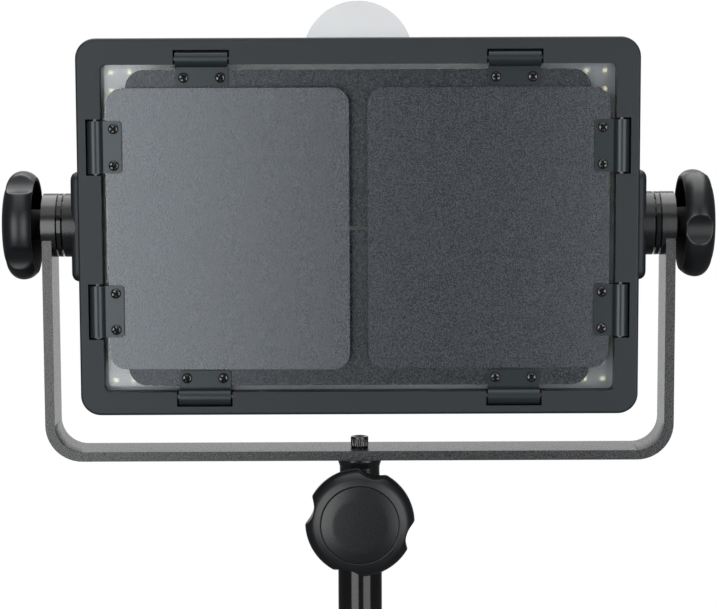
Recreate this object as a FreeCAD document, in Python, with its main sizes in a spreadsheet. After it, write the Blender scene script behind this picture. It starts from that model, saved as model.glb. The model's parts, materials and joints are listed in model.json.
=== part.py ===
import FreeCAD, Part
import math
import os
import re

import Sketcher
from FreeCAD import Rotation, Vector

# LED panel light with a four-leaf barn door, in a U yoke with a stand socket. Millimetres.
# The origin is the centre of the stand socket's mouth: +X to the right, +Y to the back, +Z up.
# The light shines towards -Y. Every size below is a cell of the spreadsheet "sizes".

SIZES = {
    # yoke: one flat bar, bent twice
    "pivot_high": 222.6,
    "bar_wide": 30.0,
    "bar_thick": 5.4,
    "arm_gap": 340.2,
    "bar_low": 91.0,
    "bend_inner": 15.0,
    "stud_hole": 8.4,
    "bolt_hole": 6.4,
    # stand socket, its sleeve and its bolt
    "flange_wide": 25.0,
    "flange_tall": 5.6,
    "neck_wide": 22.6,
    "neck_low": 80.0,
    "socket_wide": 25.0,
    "spigot_bore": 16.2,
    "spigot_deep": 76.0,
    "sleeve_tall": 46.0,
    "mouth_edge": 0.6,
    "bolt_wide": 6.0,
    "bolt_head_wide": 10.0,
    "bolt_head_tall": 6.0,
    "bolt_reach": 11.0,
    "bolt_key": 5.0,
    "bolt_hole_spare": 1.0,
    "clamp_high": 59.3,
    "clamp_boss_wide": 17.0,
    "clamp_boss_front": 19.0,
    "pad_wide": 9.0,
    "pad_thick": 2.2,
    "pad_gap": 0.1,
    "pad_slack": 0.2,
    "pad_travel": 1.5,
    # pivot stack on each side, from the housing outwards
    "plate_out": 159.0,
    "plate_tall": 60.8,
    "plate_deep": 36.0,
    "plate_corner": 5.5,
    "plate_edge": 4.0,
    "disc_seat": 155.0,
    "stack_wide": 35.5,
    "disc_out": 163.7,
    "washer_in": 164.8,
    "washer_out": 166.9,
    "washer_hub_wide": 28.0,
    "washer_hub_in": 164.0,
    "cup_in": 167.8,
    "cup_out": 175.7,
    "cup_slack": 0.1,
    "cup_slot_slack": 1.1,
    "nut_across": 13.0,
    "nut_thick": 6.3,
    # clamp knobs
    "knob_wide": 60.8,
    "knob_in": 176.9,
    "knob_tall": 21.7,
    "hub_wide": 17.0,
    "hub_foot": 19.0,
    "rim_low": 4.0,
    "rim_inner_wide": 49.6,
    "rim_back_wide": 53.4,
    "rim_full_low": 9.8,
    "rim_full_high": 13.6,
    "shoulder_wide": 52.0,
    "shoulder_high": 18.5,
    "rim_round": 4.6,
    "knob_web": 9.0,
    "scallop_out": 38.8,
    "scallop_round": 12.4,
    "cap_wide": 43.0,
    "cap_thick": 1.6,
    "cap_edge_high": 20.5,
    "cap_slack": 0.15,
    "cap_edge": 0.7,
    "stud_wide": 8.0,
    "stud_grip": 11.5,
    "stud_edge": 0.8,
    "stand_knob_gap": 1.5,
    "thread_slack": 0.05,
    # housing: bezel in front, cover behind
    "bezel_wide": 306.5,
    "bezel_tall": 206.3,
    "bezel_middle": 223.0,
    "bezel_front": -32.0,
    "bezel_rim": 10.0,
    "bezel_corner": 11.0,
    "bezel_edge": 1.6,
    "skirt_wall": 2.8,
    "opening_wide": 280.4,
    "opening_tall": 179.2,
    "opening_corner": 3.0,
    "door_middle": 222.2,
    "seam_back": -8.0,
    "cover_back": 28.0,
    "cover_wall": 2.5,
    "cover_slope": 9.0,
    "frame_wide": 299.0,
    "frame_tall": 198.0,
    "frame_corner": 6.0,
    "frame_top_bar": 3.0,
    # filter and its slot
    "filter_wide": 283.0,
    "filter_low": 131.8,
    "filter_top": 325.0,
    "filter_front": -20.6,
    "filter_back": -19.4,
    "tab_round": 30.0,
    "tab_middle": 316.0,
    "filter_slack": 0.7,
    "filter_corner": 3.0,
    # light engine
    "window_wide": 292.0,
    "window_tall": 190.0,
    "window_front": -18.0,
    "window_back": -16.0,
    "window_corner": 2.0,
    "window_seat": 0.3,
    "board_front": -12.0,
    "board_back": -10.4,
    "sink_back": -7.4,
    "fin_back": 5.0,
    "fin_thick": 1.6,
    "fin_pitch": 10.0,
    "fin_tall": 156.0,
    "fin_count": 21,
    "driver_front": 12.0,
    "driver_back": 13.6,
    "driver_wide": 120.0,
    "driver_tall": 70.0,
    "can_wide": 14.0,
    "can_apart": 34.0,
    "can_up": 12.0,
    "can_front": 5.8,
    # door hinges, in each hinge's own frame
    "side_axis_out": 143.3,
    "end_axis_out": 92.7,
    "axis_front": -28.75,
    "notch_long": 30.6,
    "notch_out": 4.9,
    "notch_deep": 8.5,
    "notch_in": 6.0,
    "barrel_round": 4.5,
    "pin_wide": 3.0,
    "pin_grip": 4.0,
    "pin_slack": 0.05,
    "hinge_long": 28.5,
    "hinge_reach": 14.5,
    "hinge_corner": 2.0,
    "side_hinge_apart": 90.0,
    "end_hinge_apart": 170.0,
    "side_plate_back": -0.2,
    "end_plate_back": -3.2,
    "hinge_plate": 1.2,
    # door leaves
    "leaf_thick": 1.2,
    "side_leaf_near": 6.1,
    "side_leaf_far": 138.3,
    "side_leaf_half": 77.0,
    "side_leaf_corner": 9.0,
    "end_leaf_near": 6.0,
    "end_leaf_far": 91.5,
    "end_leaf_half": 127.0,
    "end_leaf_straight": 17.0,
    "end_leaf_tip": 97.0,
    "end_leaf_corner": 10.0,
    # door fasteners
    "screw_in": 10.2,
    "screw_apart": 20.0,
    "screw_hole": 3.3,
    "screw_wide": 3.0,
    "screw_head_wide": 5.6,
    "screw_head_tall": 1.8,
    "screw_dome": 0.9,
    "screw_spare": 0.4,
    "recess_long": 3.2,
    "recess_wide": 0.8,
    "recess_deep": 0.9,
    "small_nut_across": 5.5,
    "small_nut_thick": 1.8,
    # housing screws
    "post_wide": 9.0,
    "post_across": 135.0,
    "post_up": 84.0,
    "case_head_wide": 6.0,
    "case_head_tall": 1.9,
    "case_head_sunk": 2.2,
    "case_head_room": 0.6,
    # back: vents, battery plates and control panel
    "vent_wide": 3.0,
    "vent_tall": 20.0,
    "vent_pitch": 8.0,
    "vent_count": 6,
    "vent_up": 64.0,
    "vent_round": 1.4,
    "battery_across": 86.0,
    "battery_wide": 42.0,
    "battery_tall": 80.0,
    "battery_thick": 4.0,
    "battery_corner": 2.5,
    "rail_wide": 3.2,
    "rail_tall": 4.2,
    "rail_lip": 2.0,
    "rail_foot": 3.0,
    "rail_top": 6.0,
    "lip_thick": 1.4,
    "latch_wide": 12.0,
    "latch_tall": 8.0,
    "latch_proud": 3.0,
    "latch_low": -30.0,
    "latch_play": 3.4,
    "latch_slack": 0.3,
    "latch_sunk": 2.3,
    "latch_pocket": 2.5,
    "latch_corner": 1.0,
    "latch_edge": 0.6,
    "panel_wide": 76.0,
    "panel_tall": 100.0,
    "panel_thick": 2.0,
    "panel_corner": 5.0,
    "display_wide": 42.0,
    "display_tall": 17.0,
    "display_up": 31.0,
    "display_sunk": 1.2,
    "display_thick": 1.5,
    "display_corner": 1.5,
    "display_slack": 0.1,
    "dial_across": 19.0,
    "dial_up": 0.0,
    "dial_wide": 19.0,
    "dial_tall": 12.0,
    "dial_gap": 0.4,
    "dial_shaft": 6.0,
    "dial_shaft_hole": 6.2,
    "dial_shaft_deep": 9.0,
    "dial_mark": 1.2,
    "dial_mark_deep": 0.6,
    "dial_edge": 0.8,
    "rocker_across": -14.0,
    "rocker_up": -31.0,
    "rocker_wide": 13.0,
    "rocker_tall": 19.0,
    "rocker_thick": 6.5,
    "rocker_dip": 1.4,
    "rocker_slack": 0.6,
    "rocker_turn": 8.0,
    "rocker_corner": 0.8,
    "rocker_pin": 2.4,
    "rocker_pin_proud": 0.4,
    "jack_across": 16.0,
    "jack_up": -31.0,
    "jack_wide": 11.0,
    "jack_bore": 6.4,
    "jack_pin": 2.0,
    "jack_deep": 9.0,
    "jack_proud": 1.0,
    "jack_wall": 1.0,
    "jack_pin_sunk": 0.5,
}

# Directions of each door's own axes, along the hinge, in towards the opening and out of the front,
# then the place of its hinge and how far it stands ajar, in degrees.
OUTWARD = Vector(0, -1, 0)
DOORS = {
    "left": (Vector(0, 0, -1), Vector(1, 0, 0), "-side_axis_out", "door_middle", 2),
    "right": (Vector(0, 0, 1), Vector(-1, 0, 0), "side_axis_out", "door_middle", 0),
    "top": (Vector(-1, 0, 0), Vector(0, 0, -1), "0", "door_middle + end_axis_out", 0),
    "bottom": (Vector(1, 0, 0), Vector(0, 0, 1), "0", "door_middle - end_axis_out", 0),
}
AXLE = Vector(0, 0, 1)
# The directions of each side clamp knob's own axes, the last one out along its stud, and how far
# each knob has been turned, in degrees.
SIDES = {
    "left": (-1, Rotation(OUTWARD, AXLE, Vector(-1, 0, 0), "XYZ") * Rotation(AXLE, 55)),
    "right": (1, Rotation(-OUTWARD, AXLE, Vector(1, 0, 0), "XYZ") * Rotation(AXLE, 3)),
}
FRONTWARD = Rotation(Vector(1, 0, 0), AXLE, OUTWARD, "XYZ")
BACKWARD = Rotation(Vector(-1, 0, 0), AXLE, -OUTWARD, "XYZ")
STAND_KNOB_TURN = Rotation(AXLE, -14)
FAR = "400"
NEAR_ENOUGH = 0.01
QUARTER_TURN = math.pi / 2
HALF_TURN = math.pi

doc = FreeCAD.newDocument("panel_light")
sheet = doc.addObject("Spreadsheet::Sheet", "sizes")
nodes = []


# ---- spreadsheet and expressions ----

def fill_sheet():
    for row, (alias, size) in enumerate(SIZES.items(), start=1):
        sheet.set(f"A{row}", alias)
        sheet.set(f"B{row}", str(size))
        sheet.setAlias(f"B{row}", alias)
    doc.recompute()


def linked(text):
    """An expression with each alias written as a reference to the sheet."""
    return re.sub(r"[a-z_]+", lambda word: f"sizes.{word[0]}" if word[0] in SIZES else word[0], text)


def value(text):
    return float(sheet.evalExpression(linked(text)))


def bind(thing, name, text):
    thing.setExpression(name, linked(text))


# ---- outlines: each returns a function that draws itself on a sketch ----

# Each draw function adds its geometry and appends (constraint, expression or None) to the rules.

def relate(rules, kind, *where):
    rules.append((Sketcher.Constraint(kind, *where), None))


def limit(rules, kind, text, *where):
    rules.append((Sketcher.Constraint(kind, *where, value(text)), text))


def pin_point(rules, geometry, point, across, up):
    limit(rules, "DistanceX", across, geometry, point)
    limit(rules, "DistanceY", up, geometry, point)


def circle(across, up, wide):
    def draw(sketch, rules):
        centre = Vector(value(across), value(up), 0)
        geometry = sketch.addGeometry(Part.Circle(centre, Vector(0, 0, 1), value(wide) / 2))
        pin_point(rules, geometry, 3, across, up)
        limit(rules, "Diameter", wide, geometry)
    return draw


def polygon(*corners):
    def draw(sketch, rules):
        spots = [Vector(value(across), value(up), 0) for across, up in corners]
        lines = [
            sketch.addGeometry(Part.LineSegment(spot, spots[(index + 1) % len(spots)]))
            for index, spot in enumerate(spots)
        ]
        for index, (across, up) in enumerate(corners):
            following = lines[(index + 1) % len(lines)]
            relate(rules, "Coincident", lines[index], 2, following, 1)
            pin_point(rules, lines[index], 1, across, up)
    return draw


def box(left, right, low, high):
    return polygon((left, low), (right, low), (right, high), (left, high))


def arc(sketch, centre, radius, start):
    """A quarter circle from the angle start, in quarter turns."""
    whole = Part.Circle(centre, Vector(0, 0, 1), radius)
    return sketch.addGeometry(Part.ArcOfCircle(whole, start * QUARTER_TURN, (start + 1) * QUARTER_TURN))


def rounded(left, right, low, high, corner):
    def draw(sketch, rules):
        x_low, x_high, y_low, y_high, radius = (value(text) for text in (left, right, low, high, corner))
        ends = [
            (Vector(x_low + radius, y_low, 0), Vector(x_high - radius, y_low, 0)),
            (Vector(x_high, y_low + radius, 0), Vector(x_high, y_high - radius, 0)),
            (Vector(x_high - radius, y_high, 0), Vector(x_low + radius, y_high, 0)),
            (Vector(x_low, y_high - radius, 0), Vector(x_low, y_low + radius, 0)),
        ]
        centres = [
            Vector(x_high - radius, y_low + radius, 0),
            Vector(x_high - radius, y_high - radius, 0),
            Vector(x_low + radius, y_high - radius, 0),
            Vector(x_low + radius, y_low + radius, 0),
        ]
        lines = [sketch.addGeometry(Part.LineSegment(start, end)) for start, end in ends]
        arcs = [arc(sketch, centre, radius, index - 1) for index, centre in enumerate(centres)]
        for index in range(4):
            relate(rules, "Tangent", lines[index], 2, arcs[index], 1)
            relate(rules, "Tangent", arcs[index], 2, lines[(index + 1) % 4], 1)
            limit(rules, "Radius", corner, arcs[index])
        for index, kind in enumerate(("Horizontal", "Vertical", "Horizontal", "Vertical")):
            relate(rules, kind, lines[index])
        limit(rules, "DistanceY", low, lines[0], 1)
        limit(rules, "DistanceX", right, lines[1], 1)
        limit(rules, "DistanceY", high, lines[2], 1)
        limit(rules, "DistanceX", left, lines[3], 1)
    return draw


def panel(wide, tall, corner, across="0", up="bezel_middle"):
    """A rounded rectangle about a centre."""
    half_wide, half_tall = f"({wide}) / 2", f"({tall}) / 2"
    left, right = f"{across} - {half_wide}", f"{across} + {half_wide}"
    return rounded(left, right, f"{up} - {half_tall}", f"{up} + {half_tall}", corner)


def arch(half, low, centre):
    """A strip that ends in a half circle at its top."""
    def draw(sketch, rules):
        radius, bottom, top = value(half), value(low), value(centre)
        corners = ((-radius, top), (-radius, bottom), (radius, bottom), (radius, top))
        spots = [Vector(x, y, 0) for x, y in corners]
        lines = [sketch.addGeometry(Part.LineSegment(spots[index], spots[index + 1])) for index in range(3)]
        whole = Part.Circle(Vector(0, top, 0), Vector(0, 0, 1), radius)
        crown = sketch.addGeometry(Part.ArcOfCircle(whole, 0, HALF_TURN))
        for first, second in ((0, 1), (1, 2)):
            relate(rules, "Coincident", lines[first], 2, lines[second], 1)
        relate(rules, "Coincident", lines[2], 2, crown, 1)
        relate(rules, "Coincident", crown, 2, lines[0], 1)
        pin_point(rules, lines[0], 1, f"-({half})", centre)
        pin_point(rules, lines[1], 1, f"-({half})", low)
        pin_point(rules, lines[2], 1, half, low)
        limit(rules, "DistanceX", half, lines[2], 2)
        limit(rules, "DistanceY", centre, crown, 3)
        limit(rules, "DistanceY", centre, lines[2], 2)
    return draw


def hexagon(across, up, flats):
    """A hexagon with two flats upright, such as a nut's outline."""
    half, point = f"({flats}) / 2", f"({flats}) / sqrt(3)"
    corners = [
        (across, f"{up} + {point}"),
        (f"{across} - {half}", f"{up} + {point} / 2"),
        (f"{across} - {half}", f"{up} - {point} / 2"),
        (across, f"{up} - {point}"),
        (f"{across} + {half}", f"{up} - {point} / 2"),
        (f"{across} + {half}", f"{up} + {point} / 2"),
    ]
    return polygon(*corners)


# ---- bodies and features ----

def new_body(name):
    body = doc.addObject("PartDesign::Body", name)
    body.Label = name
    nodes.append(body)
    return body


def sketch_on(body, role, offset, shapes):
    plane = next(item for item in body.Origin.OriginFeatures if item.Role == role)
    sketch = body.newObject("Sketcher::SketchObject", "outline")
    sketch.AttachmentSupport = [(plane, "")]
    sketch.MapMode = "FlatFace"
    bind(sketch, "AttachmentOffset.Base.z", offset)
    rules = []
    for draw in shapes:
        draw(sketch, rules)
    numbers = sketch.addConstraint([rule for rule, _ in rules])
    for number, (_, text) in zip(numbers, rules):
        if text is not None:
            bind(sketch, f"Constraints[{number}]", text)
    return sketch


def add(body, role, low, high, *shapes):
    """Pads shapes from low to high along the row axis that crosses the plane."""
    offset = f"-({high})" if role == "XZ_Plane" else low
    pad = body.newObject("PartDesign::Pad", "pad")
    pad.Profile = sketch_on(body, role, offset, shapes)
    bind(pad, "Length", f"({high}) - ({low})")
    doc.recompute()
    return pad


def cut(body, role, low, high, *shapes):
    """Pockets shapes from low to high along the row axis that crosses the plane."""
    before = body.Shape.Volume
    offset = f"-({low})" if role == "XZ_Plane" else high
    pocket = body.newObject("PartDesign::Pocket", "pocket")
    pocket.Profile = sketch_on(body, role, offset, shapes)
    bind(pocket, "Length", f"({high}) - ({low})")
    doc.recompute()
    if body.Shape.Volume > before - NEAR_ENOUGH:
        raise ValueError(f"{body.Label}: a pocket cuts nothing")
    return pocket


def turn(body, *corners):
    """Turns a profile of (radius, height) corners about the body's own Z axis."""
    sketch = sketch_on(body, "XZ_Plane", "0", [polygon(*corners)])
    turned = body.newObject("PartDesign::Revolution", "turned")
    turned.Profile = sketch
    turned.ReferenceAxis = (sketch, ["V_Axis"])
    turned.Angle = 360
    doc.recompute()
    return turned


def repeat(body, feature, length, count, backwards=False):
    """Repeats a feature in a row along its sketch's own first axis."""
    row = body.newObject("PartDesign::LinearPattern", "row")
    row.Originals = [feature]
    row.Direction = (feature.Profile[0], ["H_Axis"])
    row.Reversed = backwards
    bind(row, "Length", length)
    bind(row, "Occurrences", count)
    body.Tip = row
    doc.recompute()


def dress(body, kind, size_name, size, test):
    """Fillets or chamfers the edges of the body's last feature that pass a test."""
    base = body.Tip
    edges = [f"Edge{number}" for number, edge in enumerate(base.Shape.Edges, start=1) if test(edge)]
    if not edges:
        raise ValueError(f"{body.Label}: no edge to dress")
    dressed = body.newObject(kind, "dressed")
    dressed.Base = (base, edges)
    bind(dressed, size_name, size)
    doc.recompute()
    return dressed


def fillet(body, radius, test):
    return dress(body, "PartDesign::Fillet", "Radius", radius, test)


def chamfer(body, size, test):
    return dress(body, "PartDesign::Chamfer", "Size", size, test)


def close(first, second):
    return abs(first - second) < NEAR_ENOUGH


def middle(edge):
    return edge.BoundBox.Center


def upright(edge, axis):
    """Whether a straight edge runs along an axis."""
    if edge.Curve.TypeId != "Part::GeomLine":
        return False
    return edge.tangentAt(edge.FirstParameter).cross(axis).Length < NEAR_ENOUGH


def lies_at(edge, name, place):
    """Whether the whole edge lies in the plane at place."""
    bounds = edge.BoundBox
    return close(getattr(bounds, name + "Min"), place) and close(getattr(bounds, name + "Max"), place)


def set_down(body, rotation, across, deep, high):
    body.Placement = FreeCAD.Placement(Vector(), rotation)
    for name, text in (("x", across), ("y", deep), ("z", high)):
        bind(body, f"Placement.Base.{name}", text)
    doc.recompute()


# ---- yoke, socket and pivot stack ----

def yoke_bar():
    body = new_body("yoke_bar")
    side, top = "(arm_gap / 2 + bar_thick)", "(bar_low + bar_thick)"
    add(body, "YZ_Plane", f"-{side}", side, arch("bar_wide / 2", "bar_low", "pivot_high"))
    gap = box("-arm_gap / 2", "arm_gap / 2", top, "pivot_high + bar_wide")
    cut(body, "XZ_Plane", "-bar_wide", "bar_wide", gap)
    inner, outer, low, high = value("arm_gap / 2"), value(side), value("bar_low"), value(top)
    along = Vector(0, 1, 0)

    def at_corner(x, z):
        def chosen(edge):
            spot = middle(edge)
            return upright(edge, along) and close(abs(spot.x), x) and close(spot.z, z)
        return chosen

    fillet(body, "bend_inner", at_corner(inner, high))
    fillet(body, "bend_inner + bar_thick", at_corner(outer, low))
    cut(body, "YZ_Plane", f"-{FAR}", FAR, circle("0", "pivot_high", "stud_hole"))
    cut(body, "XY_Plane", "0", "pivot_high", circle("0", "0", "bolt_hole"))


def stand_socket():
    body = new_body("stand_socket")
    turn(
        body,
        ("spigot_bore / 2", "sleeve_tall"),
        ("socket_wide / 2", "sleeve_tall"),
        ("socket_wide / 2", "neck_low - (socket_wide - neck_wide) / 2"),
        ("neck_wide / 2", "neck_low"),
        ("neck_wide / 2", "bar_low - flange_tall"),
        ("flange_wide / 2", "bar_low - flange_tall / 3"),
        ("flange_wide / 2", "bar_low"),
        ("0", "bar_low"),
        ("0", "spigot_deep"),
        ("spigot_bore / 2", "spigot_deep"),
    )
    inner = "-spigot_bore / 2"
    boss = circle("0", "clamp_high", "clamp_boss_wide")
    add(body, "XZ_Plane", "-clamp_boss_front", f"{inner} - pad_thick", boss)
    threaded = circle("0", "clamp_high", "stud_wide + 2 * thread_slack")
    cut(body, "XZ_Plane", "-clamp_boss_front", f"{inner} / 2", threaded)
    seat = circle("0", "clamp_high", "pad_wide + 2 * pad_slack")
    cut(body, "XZ_Plane", f"{inner} - pad_thick - pad_travel", f"{inner} / 2", seat)
    cut(body, "XY_Plane", "bar_low - bolt_reach - bolt_hole_spare", "bar_low", circle("0", "0", "bolt_wide"))


def socket_sleeve():
    body = new_body("socket_sleeve")
    ring = (circle("0", "0", "socket_wide"), circle("0", "0", "spigot_bore"))
    add(body, "XY_Plane", "0", "sleeve_tall", *ring)
    outer = value("socket_wide")
    chamfer(body, "mouth_edge", lambda edge: lies_at(edge, "Z", 0) and close(edge.BoundBox.XLength, outer))


def socket_bolt():
    body = new_body("socket_bolt")
    head_low = "(bar_low + bar_thick)"
    add(body, "XY_Plane", head_low, f"{head_low} + bolt_head_tall", circle("0", "0", "bolt_head_wide"))
    add(body, "XY_Plane", "bar_low - bolt_reach", head_low, circle("0", "0", "bolt_wide"))
    key = hexagon("0", "0", "bolt_key")
    cut(body, "XY_Plane", f"{head_low} + bolt_head_tall / 2", f"{head_low} + bolt_head_tall", key)


def outwards(sign, near, far):
    """The lower and the higher X of a stretch from near to far on one side."""
    return (near, far) if sign > 0 else (f"-({far})", f"-({near})")


def side_part(name, sign, near, far, *shapes):
    """A part that stands on one side, from near to far outwards."""
    body = new_body(name)
    add(body, "YZ_Plane", *outwards(sign, near, far), *shapes)
    return body


def pivot_stack(name, sign):
    hole = circle("0", "pivot_high", "stud_hole")
    disc = circle("0", "pivot_high", "stack_wide")
    outline = panel("plate_deep", "plate_tall", "plate_corner", up="pivot_high")
    plate = side_part(f"{name}_pivot_plate", sign, "bezel_wide / 2", "plate_out", outline, hole)
    out = sign * value("plate_out")
    fillet(plate, "plate_edge", lambda edge: lies_at(edge, "X", out) and not edge.isClosed())
    cut(plate, "YZ_Plane", *outwards(sign, "disc_seat", "plate_out"), disc)
    side_part(f"{name}_pivot_disc", sign, "disc_seat", "disc_out", disc, hole)
    washer = side_part(f"{name}_friction_washer", sign, "washer_in", "washer_out", disc, hole)
    hub = circle("0", "pivot_high", "washer_hub_wide")
    add(washer, "YZ_Plane", *outwards(sign, "washer_hub_in", "cup_in"), hub, hole)
    cup = side_part(f"{name}_arm_cup", sign, "cup_in", "cup_out", disc)
    slot = arch("bar_wide / 2 + cup_slot_slack", "pivot_high - stack_wide", "pivot_high")
    cut(cup, "YZ_Plane", *outwards(sign, "arm_gap / 2 - cup_slack", "cup_out"), slot)
    cut(cup, "YZ_Plane", f"-{FAR}", FAR, hole)


def pivot_nuts():
    body = new_body("pivot_nuts")
    inside = "(bezel_wide / 2 - cover_wall)"
    hole = circle("0", "pivot_high", "stud_wide + 2 * thread_slack")
    for low, high in ((f"{inside} - nut_thick", inside), (f"-{inside}", f"-{inside} + nut_thick")):
        add(body, "YZ_Plane", low, high, hexagon("0", "pivot_high", "nut_across"), hole)


# ---- clamp knobs ----

def knob(name, rotation, place):
    """A scalloped hand knob with a hollow back, its thin face cap and a recess for its stud."""
    body = new_body(f"{name}_knob")
    turn(
        body,
        ("stud_wide / 2", "0"),
        ("hub_wide / 2", "0"),
        ("hub_foot / 2", "knob_tall - knob_web"),
        ("rim_inner_wide / 2", "knob_tall - knob_web"),
        ("rim_inner_wide / 2", "rim_low"),
        ("rim_back_wide / 2", "rim_low"),
        ("knob_wide / 2", "rim_full_low"),
        ("knob_wide / 2", "rim_full_high"),
        ("shoulder_wide / 2", "shoulder_high"),
        ("cap_wide / 2", "cap_edge_high"),
        ("cap_wide / 2", "knob_tall - cap_thick"),
        ("0", "knob_tall - cap_thick"),
        ("0", "stud_grip"),
        ("stud_wide / 2", "stud_grip"),
    )
    rings = [value(height) for height in ("rim_full_low", "rim_full_high", "shoulder_high")]
    fillet(body, "rim_round", lambda edge: any(lies_at(edge, "Z", ring) for ring in rings))
    scallops = [circle(across, up, "2 * scallop_round") for across, up in scallop_places()]
    cut(body, "XY_Plane", "rim_low / 2", "knob_tall", *scallops)
    set_down(body, rotation, *place)
    cap = new_body(f"{name}_knob_cap")
    turn(
        cap,
        ("0", "knob_tall - cap_thick"),
        ("cap_wide / 2 - cap_slack", "knob_tall - cap_thick"),
        ("cap_wide / 2 - cap_slack", "cap_edge_high"),
        ("cap_wide / 2 - cap_edge", "knob_tall"),
        ("0", "knob_tall"),
    )
    set_down(cap, rotation, *place)


def scallop_places():
    """Four places, a quarter turn apart, around the knob's own axis."""
    return [("scallop_out", "0"), ("0", "scallop_out"), ("-scallop_out", "0"), ("0", "-scallop_out")]


def stud(name, length, rotation, place):
    """A knob's threaded stud, from its end inside the knob inwards."""
    body = new_body(name)
    add(body, "XY_Plane", f"stud_grip - ({length})", "stud_grip", circle("0", "0", "stud_wide"))
    tip = value(f"stud_grip - ({length})")
    chamfer(body, "stud_edge", lambda edge: lies_at(edge, "Z", tip))
    set_down(body, rotation, *place)


def side_knobs():
    length = "knob_in + stud_grip - (bezel_wide / 2 - cover_wall - nut_thick)"
    for name, (sign, rotation) in SIDES.items():
        place = (f"{sign} * knob_in", "0", "pivot_high")
        knob(name, rotation, place)
        stud(f"{name}_knob_stud", length, rotation, place)


def stand_knob():
    place = ("0", "-(clamp_boss_front + stand_knob_gap)", "clamp_high")
    knob("stand", FRONTWARD * STAND_KNOB_TURN, place)
    length = "stud_grip + clamp_boss_front + stand_knob_gap - spigot_bore / 2 - pad_thick"
    stud("stand_knob_stud", length, FRONTWARD, place)
    body = new_body("clamp_pad")
    inner = "-spigot_bore / 2"
    pad = circle("0", "clamp_high", "pad_wide")
    add(body, "XZ_Plane", f"{inner} - pad_thick + pad_gap", f"{inner} - pad_gap", pad)


# ---- housing ----

def hinge_spots():
    """Each hinge's place in the front view, and whether it is on a side."""
    spots = []
    for sign in (-1, 1):
        for shift in (-1, 1):
            side = (f"{sign} * side_axis_out", f"door_middle + {shift} * side_hinge_apart / 2")
            end = (f"{shift} * end_hinge_apart / 2", f"door_middle + {sign} * end_axis_out")
            spots.append((side, sign, True))
            spots.append((end, sign, False))
    return spots


def notch(spot, sign, on_side):
    across, up = spot
    half = "notch_long / 2"
    if on_side:
        ends = sorted((f"{across} - {sign} * notch_in", f"{across} + {sign} * notch_out"), key=value)
        return box(*ends, f"{up} - {half}", f"{up} + {half}")
    ends = sorted((f"{up} - {sign} * notch_in", f"{up} + {sign} * notch_out"), key=value)
    return box(f"{across} - {half}", f"{across} + {half}", *ends)


def pin_holes(body, feature, wide, reach):
    """Adds or cuts a round bar along each hinge's axis."""
    for spot, _, on_side in hinge_spots():
        across, up = spot
        if on_side:
            hole = circle(across, "axis_front", wide)
            feature(body, "XY_Plane", f"{up} - ({reach})", f"{up} + ({reach})", hole)
        else:
            low, high = f"{across} - ({reach})", f"{across} + ({reach})"
            feature(body, "YZ_Plane", low, high, circle("axis_front", up, wide))


def front_bezel():
    body = new_body("front_bezel")
    outline = panel("bezel_wide", "bezel_tall", "bezel_corner")
    opening = panel("opening_wide", "opening_tall", "opening_corner", up="door_middle")
    rim_back = "bezel_front + bezel_rim"
    add(body, "XZ_Plane", "bezel_front", rim_back, outline, opening)
    front, centre = value("bezel_front"), value("bezel_middle")
    wide, tall = value("opening_wide / 2"), value("opening_tall / 2")

    def outer_edge(edge):
        spot = middle(edge)
        beside = abs(spot.x) > wide + 1 or abs(spot.z - centre) > tall + 1
        return lies_at(edge, "Y", front) and beside

    fillet(body, "bezel_edge", outer_edge)
    skirt = panel("bezel_wide - 2 * skirt_wall", "bezel_tall - 2 * skirt_wall", "bezel_corner - skirt_wall")
    add(body, "XZ_Plane", rim_back, "seam_back", outline, skirt)
    notches = [notch(*spot) for spot in hinge_spots()]
    cut(body, "XZ_Plane", "bezel_front", "bezel_front + notch_deep", *notches)
    pin_holes(body, cut, "pin_wide + 2 * pin_slack", "notch_long / 2 + pin_grip")
    half = "(filter_wide / 2 + filter_slack)"
    slot = box(f"-{half}", half, "bezel_middle + frame_tall / 2", "bezel_middle + bezel_tall")
    cut(body, "XZ_Plane", "filter_front - filter_slack", "filter_back + filter_slack", slot)


def inner_frame():
    body = new_body("inner_frame")
    outline = panel("frame_wide", "frame_tall", "frame_corner")
    half = "(filter_wide / 2 + filter_slack)"
    low, high = "filter_low - filter_slack", "bezel_middle + window_tall / 2 - frame_top_bar"
    front = "bezel_front + bezel_rim"
    add(body, "XZ_Plane", front, "board_back", outline, box(f"-{half}", half, low, high))
    behind = panel("window_wide + 2 * window_seat", "window_tall + 2 * window_seat", "window_corner")
    cut(body, "XZ_Plane", "window_front", "board_back", behind)
    slot = box(f"-{half}", half, "bezel_middle", "bezel_middle + frame_tall")
    cut(body, "XZ_Plane", front, "window_front", slot)


def flat_panel(name, front, back, wide, tall, corner):
    body = new_body(name)
    add(body, "XZ_Plane", front, back, panel(wide, tall, corner))
    return body


def hinge_pins():
    pin_holes(new_body("hinge_pins"), add, "pin_wide", "notch_long / 2 + pin_grip")


def post_places():
    across = [f"{sign} * post_across" for sign in (-1, 1)] + ["0"]
    return [(spot, f"bezel_middle + {sign} * post_up") for spot in across for sign in (-1, 1)]


def post_circles(wide):
    return [circle(across, up, wide) for across, up in post_places()]


def heat_sink():
    body = flat_panel("heat_sink", "board_back", "sink_back", "frame_wide", "frame_tall", "frame_corner")
    cut(body, "XZ_Plane", "board_back", "sink_back", *post_circles("screw_wide"))
    reach = "(fin_count - 1) * fin_pitch"
    sides = (f"-({reach}) / 2 - fin_thick / 2", f"-({reach}) / 2 + fin_thick / 2")
    fin = box(*sides, "bezel_middle - fin_tall / 2", "bezel_middle + fin_tall / 2")
    first = add(body, "XZ_Plane", "sink_back", "fin_back", fin)
    repeat(body, first, reach, "fin_count")


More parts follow.
